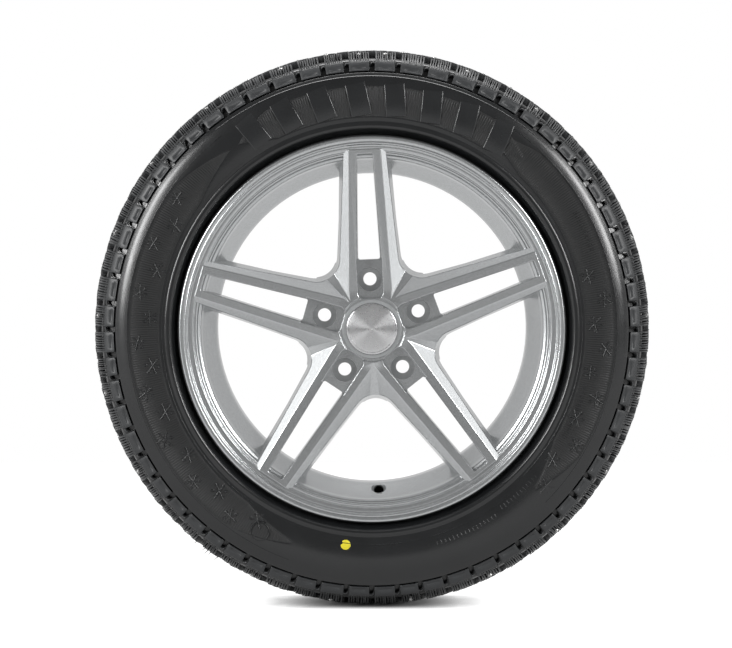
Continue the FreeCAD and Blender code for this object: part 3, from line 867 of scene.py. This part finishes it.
def barrel_profile(settings):
    """Closed section of the barrel: stepped lip, front wall, drop well, bead seats and flanges."""
    edge = settings.flange_radius
    rim_rear = -RIM_FRONT
    seat_side = 82.6 * MM
    lip = in_metres([
        (0, 12), (-0.3, 4), (-1.0, 1.4), (-2.0, 0.2), (-3.2, 0), (-6.6, 0.1), (-7.2, 0.7), (-7.8, 0.1),
        (-9.2, 0.2), (-10.0, 0.7), (-10.5, 2.3), (-11.3, 3.0)], edge, RIM_FRONT)
    band = in_metres([(206.6, 0), (203.0, 0.1), (202.2, 0.6), (201.6, 2.2)], place=LIP_BAND_FRONT)
    stepped = smooth_line(in_metres([
        (200.8, 2.6), (199.4, 2.4), (198.0, 3.4), (196.8, 5.2), (195.6, 6.0), (194.4, 6.6), (193.2, 8.2),
        (191.6, 14), (189.4, 19)], place=LIP_BAND_FRONT), steps=3)
    inside = in_metres([
        (184, -61), (178.4, -50), (176.6, -45.6), (176, -42), (176, -10), (176.6, -6), (185, 40),
        (195.4, 93.4)])
    rear_lip = in_metres([(197, -0.4), (198.6, 0)], place=rim_rear)
    rear_flange = in_metres([(-2.6, 0), (-0.8, -0.9), (0, -3)], edge, rim_rear)
    seats = in_metres([(202.8, 82.6), (201, 62), (181, -8), (181, -44), (201, -62), (202.8, -82.6)])
    return (
        lip + band + stepped + inside + rear_lip + rear_flange
        + [(edge, seat_side)] + seats + [(edge, -seat_side)])


def face_place(along, settings):
    """Place of the flat, dished face of a spoke at a distance along it."""
    slope = (SPOKE_END_FRONT - HUB_FACE) / (settings.spoke_end - HUB_FLAT)
    return HUB_FACE + slope * (along - HUB_FLAT)


def prism(outline, direction):
    """Mesh block swept along a direction from a flat outline of points."""
    block = bmesh.new()
    near = [block.verts.new(point) for point in outline]
    far = [block.verts.new(Vector(point) + direction) for point in outline]
    block.faces.new(near)
    block.faces.new(list(reversed(far)))
    count = len(outline)
    for index in range(count):
        following = (index + 1) % count
        block.faces.new((near[following], near[index], far[index], far[following]))
    bmesh.ops.recalc_face_normals(block, faces=block.faces)
    return block


def trim(block, corners, kept):
    """Cuts a block along the plane through three corners and closes it on the kept point's side."""
    normal = (corners[1] - corners[0]).cross(corners[2] - corners[0]).normalized()
    if normal.dot(kept - corners[0]) > 0:
        normal.negate()
    geometry = block.verts[:] + block.edges[:] + block.faces[:]
    bmesh.ops.bisect_plane(block, geom=geometry, plane_co=corners[0], plane_no=normal, clear_outer=True)
    open_edges = [edge for edge in block.edges if edge.is_boundary]
    bmesh.ops.holes_fill(block, edges=open_edges, sides=0)
    bmesh.ops.recalc_face_normals(block, faces=block.faces)


def lathe(profile, segments, centre_height):
    """Mesh solid of a profile of (radius, place) turned about a line along the axle at a height."""
    solid = bmesh.new()
    rings = []
    for radius, place in profile:
        ring = []
        for step in range(segments):
            angle = 2.0 * math.pi * (step + 0.5) / segments
            point = (radius * math.cos(angle), place, centre_height + radius * math.sin(angle))
            ring.append(solid.verts.new(point))
        rings.append(ring)
    for first, second in zip(rings, rings[1:]):
        for step in range(segments):
            following = (step + 1) % segments
            solid.faces.new((first[step], first[following], second[following], second[step]))
    solid.faces.new(rings[0])
    solid.faces.new(rings[-1])
    bmesh.ops.recalc_face_normals(solid, faces=solid.faces)
    return solid


def spoke_bar(settings):
    """Wide bar with the side profile of one spoke, pointing up, its end sunk in the barrel."""
    foot_front = LIP_BAND_FRONT + 2.2 * MM
    profile = [
        (0.0, HUB_FACE), (HUB_FLAT, HUB_FACE), (settings.spoke_end, SPOKE_END_FRONT),
        (settings.spoke_end, foot_front), (201 * MM, foot_front), (197 * MM, -78 * MM),
        (184 * MM, -54.7 * MM), (125 * MM, face_place(125 * MM, settings) + 29 * MM),
        (76 * MM, MOUNTING_FACE - 6 * MM), (76 * MM, MOUNTING_FACE), (0.0, MOUNTING_FACE)]
    half = 75 * MM
    return prism([(-half, place, along) for along, place in profile], Vector((2.0 * half, 0, 0)))


def window_blocks(settings, half_pitch):
    """Gap between two spokes whose middle line points up: a bevelled mouth, then drafted walls."""
    front = SPOKE_END_FRONT - BEYOND
    depth = MOUNTING_FACE + BEYOND - front
    reach = settings.flange_radius
    root = settings.spoke_root
    taper = (settings.face_half_root - settings.face_half_rim) / (settings.spoke_end - root)
    apex = (settings.face_half_root + taper * root) / (math.tan(half_pitch) + taper) / math.cos(half_pitch)
    rim_depth = BEVEL_DEPTH * settings.bevel_rim / settings.bevel_root
    kept = Vector((0, front, reach))

    def beside(along, across, place, side):
        """Point at a distance along the spoke on one side and across from its middle line."""
        x = along * math.sin(half_pitch) - across * math.cos(half_pitch)
        return Vector((side * x, place, along * math.cos(half_pitch) + across * math.sin(half_pitch)))

    outline = [(-reach, front, 0), (reach, front, 0), (reach, front, reach), (-reach, front, reach)]
    mouth = prism(outline, Vector((0, depth, 0)))
    through = mouth.copy()
    low_root_half = settings.face_half_root + settings.bevel_root
    low_rim_half = settings.face_half_rim + settings.bevel_rim
    root_place = face_place(root, settings)
    for side in (-1, 1):
        face_root = beside(root, settings.face_half_root, root_place, side)
        face_rim = beside(settings.spoke_end, settings.face_half_rim, SPOKE_END_FRONT, side)
        low_root = beside(root, low_root_half, root_place + BEVEL_DEPTH, side)
        low_rim = beside(settings.spoke_end, low_rim_half, SPOKE_END_FRONT + rim_depth, side)
        back_root = beside(root, low_root_half + WINDOW_DRAFT, MOUNTING_FACE, side)
        trim(mouth, [face_root, face_rim, low_root], kept)
        trim(through, [low_root, low_rim, back_root], kept)
    valley = [
        Vector((-1, HUB_FACE, apex)), Vector((1, HUB_FACE, apex)),
        Vector((0, HUB_FACE + VALLEY_DEPTH, apex + VALLEY_LENGTH))]
    trim(mouth, valley, kept)
    corner = [
        edge for edge in through.edges
        if max(abs(vertex.co.x) for vertex in edge.verts) < TOUCHING
        and abs(edge.verts[0].co.y - edge.verts[1].co.y) > MM]
    bmesh.ops.bevel(
        through, geom=corner, offset=WINDOW_ROUND / math.tan(half_pitch), offset_type="OFFSET",
        segments=14, profile=0.5, affect="EDGES")
    return [mouth, through]


def slot_block(settings):
    """Tapered slot that splits a spoke, its long walls drafted towards the back."""
    front = SPOKE_END_FRONT - BEYOND
    back = MOUNTING_FACE + BEYOND
    wide = 2.0 * settings.slot_half_root
    outline = [
        (-wide, front, settings.slot_inner), (wide, front, settings.slot_inner),
        (wide, front, settings.slot_outer), (-wide, front, settings.slot_outer)]
    slot = prism(outline, Vector((0, back - front, 0)))
    for side in (-1, 1):
        wall = [
            Vector((side * settings.slot_half_root, front, settings.slot_inner)),
            Vector((side * settings.slot_half_rim, front, settings.slot_outer)),
            Vector((side * (settings.slot_half_root - SLOT_DRAFT), back, settings.slot_inner))]
        trim(slot, wall, Vector((0, front, settings.slot_outer)))
    ends = [edge for edge in slot.edges if abs(edge.verts[0].co.y - edge.verts[1].co.y) > MM]
    bmesh.ops.bevel(
        slot, geom=ends, offset=SLOT_ROUND, offset_type="OFFSET", segments=4, profile=0.5, affect="EDGES")
    return slot


def pocket_block(settings):
    """Recess round a lug hole, rounded towards the hub and open into the slot."""
    front = HUB_FACE - BEYOND
    high = settings.slot_inner + POCKET_LAP
    outline = [
        (-POCKET_HALF, front, POCKET_INNER), (POCKET_HALF, front, POCKET_INNER),
        (POCKET_HALF, front, high), (-POCKET_HALF, front, high)]
    pocket = prism(outline, Vector((0, POCKET_FLOOR - front, 0)))
    hub_side = [
        edge for edge in pocket.edges
        if max(vertex.co.z for vertex in edge.verts) < POCKET_INNER + TOUCHING
        and abs(edge.verts[0].co.y - edge.verts[1].co.y) > MM]
    bmesh.ops.bevel(
        pocket, geom=hub_side, offset=POCKET_ROUND, offset_type="OFFSET", segments=8, profile=0.5,
        affect="EDGES")
    return pocket


def lug_block(settings):
    """Lug hole with its counterbore and conical seat."""
    seat = POCKET_FLOOR + SEAT_DEPTH
    cone = (COUNTERBORE - settings.lug_hole) / math.tan(SEAT_HALF_ANGLE)
    profile = [
        (COUNTERBORE, POCKET_FLOOR - BEYOND), (COUNTERBORE, seat), (settings.lug_hole, seat + cone),
        (settings.lug_hole, MOUNTING_FACE + BEYOND)]
    return lathe(profile, segments=48, centre_height=settings.lug_circle)


def hub_block():
    """Bores of the hub from the front: recess round the cap, cap bore, clip chamber and hub bore."""
    profile = [
        (RECESS_RADIUS, HUB_FACE - BEYOND), (RECESS_RADIUS, RECESS_FLOOR), (CAP_BORE, RECESS_FLOOR),
        (CAP_BORE, CAP_BORE_END), (CLIP_CHAMBER, CAP_BORE_END), (CLIP_CHAMBER, HUB_BORE_START),
        (HUB_BORE, HUB_BORE_START), (HUB_BORE, MOUNTING_FACE + BEYOND)]
    return lathe(profile, segments=160, centre_height=0.0)


def cut_away(base, cutters):
    """Mesh of a base block with every cutter taken away from it in turn."""
    scratch = []

    def scratch_object(block, name):
        """Object for a block, which is removed again after the cuts."""
        mesh = bpy.data.meshes.new(name)
        block.to_mesh(mesh)
        block.free()
        thing = bpy.data.objects.new(name, mesh)
        bpy.context.scene.collection.objects.link(thing)
        scratch.append(thing)
        return thing

    body = scratch_object(base, "casting_block")
    for cutter in cutters:
        cut = body.modifiers.new("cut", "BOOLEAN")
        cut.operation = "DIFFERENCE"
        cut.solver = "EXACT"
        cut.object = scratch_object(cutter, "cutting_block")
    depsgraph = bpy.context.evaluated_depsgraph_get()
    mesh = bpy.data.meshes.new_from_object(body.evaluated_get(depsgraph))
    for thing in scratch:
        bpy.data.objects.remove(thing)
    return mesh


def spider_mesh(settings):
    """Hub and spokes: one spoke with half a gap each side, cut out and repeated round the axle."""
    half_pitch = math.pi / settings.spoke_count
    cutters = [hub_block(), slot_block(settings), pocket_block(settings), lug_block(settings)]
    for side in (-1, 1):
        for block in window_blocks(settings, half_pitch):
            bmesh.ops.rotate(
                block, verts=block.verts, cent=(0, 0, 0), matrix=Matrix.Rotation(side * half_pitch, 3, "Y"))
            cutters.append(block)
    sector = bmesh.new()
    sector.from_mesh(cut_away(spoke_bar(settings), cutters))
    for side in (-1, 1):
        normal = Vector((side * math.cos(half_pitch), 0, -math.sin(half_pitch)))
        geometry = sector.verts[:] + sector.edges[:] + sector.faces[:]
        bmesh.ops.bisect_plane(
            sector, geom=geometry, dist=TOUCHING, plane_co=(0, 0, 0), plane_no=normal, clear_outer=True)
    spider = bmesh.new()
    for step in range(settings.spoke_count):
        copy = bpy.data.meshes.new("spoke_sector")
        sector.to_mesh(copy)
        copy.transform(Matrix.Rotation(2.0 * half_pitch * step, 4, "Y"))
        spider.from_mesh(copy)
        bpy.data.meshes.remove(copy)
    sector.free()
    bmesh.ops.remove_doubles(spider, verts=spider.verts, dist=WELDED)
    bmesh.ops.dissolve_limit(
        spider, angle_limit=math.radians(0.5), verts=spider.verts, edges=spider.edges)
    bmesh.ops.rotate(
        spider, verts=spider.verts, cent=(0, 0, 0), matrix=Matrix.Rotation(-settings.turn, 3, "Y"))
    bmesh.ops.recalc_face_normals(spider, faces=spider.faces)
    mesh = bpy.data.meshes.new("wheel_spokes")
    spider.to_mesh(mesh)
    spider.free()
    return mesh


def valve_block(settings):
    """Valve hole through the sloping wall of the well, with a spot face on its front, low in the rim."""
    tilt = math.radians(25)
    outward = Vector((0, math.cos(tilt), math.sin(tilt)))
    wall_exit = Vector((0, -48.6 * MM, 186.1 * MM))
    wall_thickness = 4.9 * MM
    spot_face = 8.6 * MM
    valve_hole = 5.65 * MM
    reach = 29 * MM
    profile = [(spot_face, -reach), (spot_face, 0.0), (valve_hole, 0.0), (valve_hole, reach)]
    hole = lathe(profile, segments=48, centre_height=0.0)
    low = Matrix.Rotation(-math.pi - settings.turn, 4, "Y")
    seat = Matrix.Translation(wall_exit - outward * wall_thickness)
    bmesh.ops.transform(hole, verts=hole.verts, matrix=low @ seat @ Matrix.Rotation(tilt, 4, "X"))
    return hole


def barrel_mesh(settings):
    """Barrel turned about the axle, with the valve hole cut through it."""
    ring = bmesh.new()
    ring.from_mesh(mesh_of("rim_barrel", *revolved(barrel_profile(settings), segments=360)))
    return cut_away(ring, [valve_block(settings)])


def recess_profile():
    """Closed section of the flat ring that lies in the hub's recess, round the cap."""
    return in_metres([
        (29.3, 0.3), (29.3, -0.5), (29.6, -0.8), (33.0, -0.8), (33.6, -0.2), (33.6, 0.3)], place=RECESS_FLOOR)


def in_shaded_lug_well(point, settings):
    """Whether a point lies on the turned wall or seat of a lug hole, below the pocket's floor, where the
    darker finish stands for bare machined metal and for painted shade in the deep well.
    """
    for number in range(settings.spoke_count):
        angle = math.pi / 2.0 + settings.turn + 2.0 * math.pi * number / settings.spoke_count
        axis = polar(settings.lug_circle, angle, point.y)
        if (point - axis).length < COUNTERBORE + 0.4 * MM and point.y > POCKET_FLOOR + 0.2 * MM:
            return True
    return False


def mark_rounded_edges(mesh):
    """Marks the casting's sharp edges for rounding, all but the close ones deep in the lug pockets."""
    form = bmesh.new()
    form.from_mesh(mesh)
    weight = form.edges.layers.float.new("bevel_weight_edge")
    for edge in form.edges:
        middle = (edge.verts[0].co + edge.verts[1].co) / 2
        clear = middle.y < POCKET_FLOOR - MM or math.hypot(middle.x, middle.z) > POCKETS_END
        if clear and edge.calc_face_angle(0.0) > math.radians(24):
            edge[weight] = 1.0
    form.to_mesh(mesh)
    form.free()


class WHEEL_OT_alloy_rim(bpy.types.Operator):
    """Builds the alloy rim: turned barrel, hub and split spokes."""

    bl_idname = "wheel.alloy_rim"
    bl_label = "Alloy rim"

    def execute(self, context):
        settings = context.scene.alloy_rim
        paint = silver_wheel_paint(settings)
        turned = satin_casting(settings)
        barrel = add_piece("rim_barrel", barrel_mesh(settings), paint, sharp_deg=50.0)
        spokes = add_piece("wheel_spokes", spider_mesh(settings), paint, sharp_deg=30.0)
        # The lug wells get the darker turned finish: bare machined seats, and painted shade in the deep wells
        spokes.data.materials.append(turned)
        for face in spokes.data.polygons:
            if in_shaded_lug_well(face.center, settings):
                face.material_index = 1
        mark_rounded_edges(spokes.data)
        rounding = spokes.modifiers.new("edge_rounding", "BEVEL")
        rounding.width = settings.edge_round
        rounding.segments = 3
        rounding.limit_method = "WEIGHT"
        rounding.harden_normals = True
        rounding.use_clamp_overlap = False
        ring = mesh_of("recess_ring", *revolved(recess_profile(), segments=128))
        add_piece("recess_ring", ring, turned)
        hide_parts("alloy_rim")
        return {"FINISHED"}


# Centre cap

def cap_profile():
    """Closed section of the cap: slightly domed face, rounded edge and skirt."""
    dome = [(radius, 0.9 * (radius / 26.0) ** 2) for radius in (0.5, 4, 8, 12, 16, 20, 23, 25.4)]
    rim = [(26.2, 1.0), (26.6, 1.5), (27.0, 1.0), (27.9, 1.0), (28.5, 1.4), (28.7, 2.2), (28.7, 5)]
    skirt = [(25, 5), (25, 16), (22.5, 16), (22.5, 5), (0.5, 5)]
    return in_metres(dome + rim + skirt, place=CAP_FRONT)


class WHEEL_OT_centre_cap(bpy.types.Operator):
    """Builds the bare bright cap in the hub."""

    bl_idname = "wheel.centre_cap"
    bl_label = "Centre cap"

    def execute(self, context):
        mesh = mesh_of("hub_cap", *revolved(cap_profile(), segments=128))
        piece = add_piece("hub_cap", mesh, spun_cap_metal(context.scene.alloy_rim))
        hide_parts("centre_cap")
        return {"FINISHED"}


# Stage

def studio_floor(settings):
    """Matt studio floor, which the camera sees as white apart from the contact shadow."""
    material, tree = new_material("white_studio_board")
    whiteness = 0.93
    mirrored_share = 0.65
    path = add_node(tree, "ShaderNodeLightPath")
    mirrored = add_node(tree, "ShaderNodeMath", {
        0: path.outputs["Is Glossy Ray"], 1: mirrored_share}, operation="MULTIPLY")
    seen = add_node(tree, "ShaderNodeMath", {
        0: path.outputs["Is Camera Ray"], 1: mirrored.outputs["Value"]}, operation="MAXIMUM")
    nook = add_node(tree, "ShaderNodeAmbientOcclusion", {"Distance": 25 * MM})
    lift = add_node(tree, "ShaderNodeMath", {
        0: seen.outputs["Value"], 1: nook.outputs["AO"]}, operation="MULTIPLY")
    glow = add_node(tree, "ShaderNodeMath", {0: lift.outputs["Value"], 1: whiteness}, operation="MULTIPLY")
    board = add_node(tree, "ShaderNodeBsdfDiffuse", {"Color": linear(settings.floor_colour)})
    light = add_node(tree, "ShaderNodeEmission", {"Strength": glow.outputs["Value"]})
    both = add_node(tree, "ShaderNodeAddShader", {0: board.outputs["BSDF"], 1: light.outputs["Emission"]})
    add_node(tree, "ShaderNodeOutputMaterial", {"Surface": both.outputs["Shader"]})
    return material


def area_lamp(name, place, size, power):
    """Soft box lamp of (width, height) at a place, turned towards the middle of the wheel."""
    data = bpy.data.lights.new(name, "AREA")
    data.shape = "RECTANGLE"
    data.size, data.size_y = size
    data.energy = power
    lamp = bpy.data.objects.new(name, data)
    lamp.location = place
    lamp.rotation_euler = (-Vector(place)).to_track_quat("-Z", "Y").to_euler()
    bpy.context.scene.collection.objects.link(lamp)


def studio_world():
    """White surroundings: white to the camera, and in reflections a backdrop, dark sides and a lit front."""
    world = bpy.data.worlds.new("white_studio")
    world.use_nodes = True
    tree = world.node_tree
    tree.nodes.clear()
    path = add_node(tree, "ShaderNodeLightPath")
    mirrored = add_node(tree, "ShaderNodeMath", {
        0: path.outputs["Is Glossy Ray"], 1: path.outputs["Is Transmission Ray"]}, operation="MAXIMUM")
    # The surroundings light the wheel a little less than they show in reflections
    level = add_node(tree, "ShaderNodeMapRange", {
        "Value": mirrored.outputs["Value"], "To Min": 0.7, "To Max": 1.0})
    direction = add_node(tree, "ShaderNodeTexCoord")
    parts = add_node(tree, "ShaderNodeSeparateXYZ", {"Vector": direction.outputs["Generated"]})
    depth = add_node(tree, "ShaderNodeMapRange", {
        "Value": parts.outputs["Y"], "From Min": -1.0, "From Max": 1.0})
    room = add_node(tree, "ShaderNodeValToRGB", {"Fac": depth.outputs["Result"]})
    # From the camera's side, past the dark sides of the room, to the backdrop
    stops = ((0.0, 0.31), (0.14, 0.23), (0.30, 0.10), (0.47, 0.16), (0.58, 0.55), (0.80, 0.75))
    for place, grey in stops[1:-1]:
        room.color_ramp.elements.new(place)
    for element, (place, grey) in zip(room.color_ramp.elements, stops):
        element.position = place
        element.color = (grey, grey, grey, 1.0)
    around = add_node(tree, "ShaderNodeMath", {
        0: level.outputs["Result"], 1: room.outputs["Color"]}, operation="MULTIPLY")
    strength = add_node(tree, "ShaderNodeMath", {
        0: around.outputs["Value"], 1: path.outputs["Is Camera Ray"]}, operation="MAXIMUM")
    sky = add_node(tree, "ShaderNodeBackground", {
        "Color": (1, 1, 1, 1), "Strength": strength.outputs["Value"]})
    add_node(tree, "ShaderNodeOutputWorld", {"Surface": sky.outputs["Background"]})
    return world


def photo_camera(settings):
    """Camera in front of the wheel, a little above the axle, framed as the photograph is."""
    data = bpy.data.cameras.new("photo_camera")
    data.sensor_width = 36.0
    data.lens = data.sensor_width * settings.camera_distance / settings.picture_width
    data.clip_end = 200.0
    # The photograph is 732 pixels wide, and the wheel's middle lies a few pixels off its centre
    picture_pixels = 732.0
    data.shift_x = -6.0 / picture_pixels
    data.shift_y = 2.5 / picture_pixels
    camera = bpy.data.objects.new("photo_camera", data)
    rise = settings.camera_elevation
    distance = settings.camera_distance
    camera.location = (0, -distance * math.cos(rise), distance * math.sin(rise))
    camera.rotation_euler = (math.pi / 2.0 - rise, 0, 0)
    bpy.context.scene.collection.objects.link(camera)
    return camera


def floor_board(settings):
    """Square floor just under the tread, which catches the wheel's shadow."""
    height = CAD_BOX[0][2] - 0.5 * MM
    half = 2.6
    mesh = bpy.data.meshes.new("studio_floor")
    corners = [(-half, -half, height), (half, -half, height), (half, half, height), (-half, half, height)]
    mesh.from_pydata(corners, [], [(0, 1, 2, 3)])
    mesh.materials.append(studio_floor(settings))
    floor = bpy.data.objects.new("studio_floor", mesh)
    bpy.context.scene.collection.objects.link(floor)


def studio_lamps():
    """Soft boxes above and beside the camera, and weak panels that the bevels of the spokes mirror."""
    area_lamp("top_box", (0.0, 0.7, 2.5), (2.0, 0.8), 42)
    area_lamp("left_box", (-2.4, -2.0, 1.0), (0.7, 1.6), 80)
    area_lamp("right_box", (2.3, -2.0, 1.15), (0.6, 1.5), 66)
    area_lamp("ceiling_panel", (0.0, -0.8, 2.7), (2.6, 1.2), 9)
    area_lamp("left_panel", (-2.6, -0.8, 0.8), (0.8, 2.8), 13)
    area_lamp("right_panel", (2.6, -0.8, 0.8), (0.8, 2.8), 13)


class WHEEL_OT_studio(bpy.types.Operator):
    """Sets up the floor, the white surroundings, the soft boxes and the camera."""

    bl_idname = "wheel.studio"
    bl_label = "Studio"

    def execute(self, context):
        scene = context.scene
        settings = scene.wheel_stage
        scene.view_settings.view_transform = "Standard"
        floor_board(settings)
        scene.world = studio_world()
        studio_lamps()
        scene.camera = photo_camera(settings)
        return {"FINISHED"}


class WHEEL_PT_sidebar(bpy.types.Panel):
    """Lists the pieces of the wheel and their settings."""

    bl_idname = "WHEEL_PT_sidebar"
    bl_label = "Winter wheel"
    bl_space_type = "VIEW_3D"
    bl_region_type = "UI"
    bl_category = "Winter wheel"

    def draw(self, context):
        for operator in PIECE_OPERATORS:
            self.layout.operator(operator.bl_idname)
        for group in (context.scene.winter_tyre, context.scene.alloy_rim, context.scene.wheel_stage):
            box = self.layout.box()
            for name in group.bl_rna.properties.keys():
                if name not in ("rna_type", "name"):
                    box.prop(group, name)


PIECE_OPERATORS = (
    WHEEL_OT_winter_tyre, WHEEL_OT_studs, WHEEL_OT_alloy_rim, WHEEL_OT_centre_cap, WHEEL_OT_studio)
SETTING_GROUPS = {
    "winter_tyre": WinterTyreSettings, "alloy_rim": AlloyRimSettings, "wheel_stage": StageSettings}


def register():
    """Adds the settings, the operators and the panel."""
    for group in SETTING_GROUPS.values():
        bpy.utils.register_class(group)
    for name, group in SETTING_GROUPS.items():
        setattr(bpy.types.Scene, name, bpy.props.PointerProperty(type=group))
    for operator in PIECE_OPERATORS:
        bpy.utils.register_class(operator)
    bpy.utils.register_class(WHEEL_PT_sidebar)


def unregister():
    """Takes the panel, the operators and the settings away again."""
    bpy.utils.unregister_class(WHEEL_PT_sidebar)
    for operator in reversed(PIECE_OPERATORS):
        bpy.utils.unregister_class(operator)
    for name in SETTING_GROUPS:
        delattr(bpy.types.Scene, name)
    for group in reversed(list(SETTING_GROUPS.values())):
        bpy.utils.unregister_class(group)


def main():
    """Builds every piece in order."""
    register()
    bpy.ops.wheel.winter_tyre()
    bpy.ops.wheel.studs()
    bpy.ops.wheel.alloy_rim()
    bpy.ops.wheel.centre_cap()
    bpy.ops.wheel.studio()


if __name__ == "__main__":
    main()
